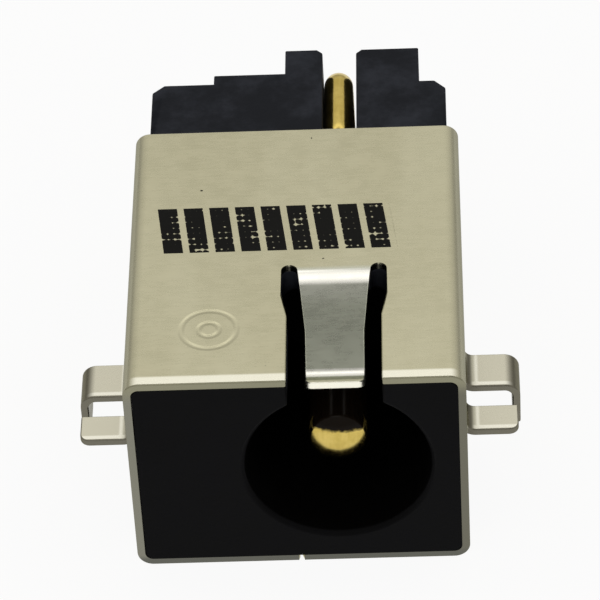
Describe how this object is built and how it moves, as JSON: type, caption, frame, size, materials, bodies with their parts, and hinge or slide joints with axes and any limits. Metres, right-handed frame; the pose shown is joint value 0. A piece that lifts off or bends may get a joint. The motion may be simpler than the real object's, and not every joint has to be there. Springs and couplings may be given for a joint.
{
  "type": "dc power jack",
  "caption": "Shielded right-angle power jack for a barrel plug, sunk in a board cut-out, with a gold centre pin, a sprung top finger and bent side wings.",
  "frame": {"origin": "middle of the bounding box, on the shell's bottom plate", "axes": "+X across the jack to the side the bore is nearer, +Y from the mouth to the rear, +Z from the bottom plate to the top plate"},
  "size_m": [0.0154, 0.0184, 0.0085],
  "materials": {
    "plated_sheet": "satin nickel plate",
    "black_moulding": "moulded, slightly satin",
    "gold_plate": "thin gold plate",
    "tin_plate": "tin plate"
  },
  "bodies": {
    "root": {"shield_shell": "plated_sheet", "housing": "black_moulding", "centre_pin": "gold_plate", "sleeve_contact": "tin_plate", "switch_contact": "tin_plate"}
  },
  "joints": []
}
